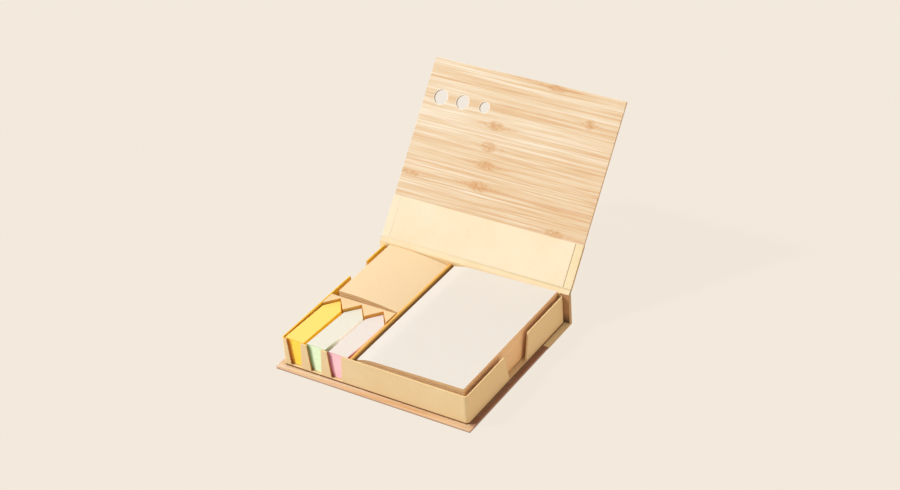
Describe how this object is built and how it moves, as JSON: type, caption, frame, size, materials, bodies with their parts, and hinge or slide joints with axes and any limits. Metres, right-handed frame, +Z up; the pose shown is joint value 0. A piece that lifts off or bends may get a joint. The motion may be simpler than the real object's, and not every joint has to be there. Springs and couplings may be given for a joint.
{
  "type": "sticky note holder",
  "caption": "Book-style sticky note holder: bamboo base and hinged bamboo lid on a kraft paper spine, with a kraft card tray for a memo pad, sticky notes and arrow page flags.",
  "frame": {"origin": "middle of the base board's underside", "axes": "+Z up, +Y towards the spine and hinge, +X to the right seen from the front, where the flag slots are"},
  "size_m": [0.1504, 0.2173, 0.1274],
  "materials": {
    "bamboo": "sanded, unvarnished",
    "kraft_paper": "uncoated, matt",
    "greyboard": "uncoated, matt",
    "kraft_card": "uncoated, matt",
    "backing_card": "uncoated, matt",
    "memo_paper": "uncoated, matt",
    "kraft_notes": "uncoated, matt",
    "yellow_notes": "uncoated, matt",
    "green_notes": "uncoated, matt",
    "pink_notes": "uncoated, matt"
  },
  "bodies": {
    "case": {"base_board": "bamboo", "spine_board": "greyboard", "cover_wrap": "kraft_paper", "spine_lining": "kraft_paper", "hinge_outer_fold": "kraft_paper", "hinge_inner_fold": "kraft_paper", "tray": "kraft_card", "bay_partition": "kraft_card", "flag_divider": "kraft_card"},
    "lid": {"lid_board": "bamboo", "lid_wrap": "kraft_paper", "lid_lining": "kraft_paper"},
    "memo": {"memo_backing": "backing_card", "memo_pad": "memo_paper"},
    "kraft": {"kraft_backing": "backing_card", "kraft_pad": "kraft_notes"},
    "yellow": {"yellow_backing": "backing_card", "yellow_flags": "yellow_notes"},
    "green": {"green_backing": "backing_card", "green_flags": "green_notes"},
    "pink": {"pink_backing": "backing_card", "pink_flags": "pink_notes"}
  },
  "joints": [
    {"name": "lid_hinge", "type": "hinge", "parent": "case", "child": "lid", "pos_m": [0, 0.06698, 0.0266], "axis": [-1, 0, 0], "range_deg": [-130, 58], "deforming": ["hinge_outer_fold", "hinge_inner_fold"]},
    {"name": "memo_lift", "type": "slide", "parent": "case", "child": "memo", "axis": [0, 0, 1], "range_m": [0, 0.03]},
    {"name": "kraft_lift", "type": "slide", "parent": "case", "child": "kraft", "axis": [0, 0, 1], "range_m": [0, 0.03]},
    {"name": "yellow_lift", "type": "slide", "parent": "case", "child": "yellow", "axis": [0, 0, 1], "range_m": [0, 0.03]},
    {"name": "green_lift", "type": "slide", "parent": "case", "child": "green", "axis": [0, 0, 1], "range_m": [0, 0.03]},
    {"name": "pink_lift", "type": "slide", "parent": "case", "child": "pink", "axis": [0, 0, 1], "range_m": [0, 0.03]}
  ]
}
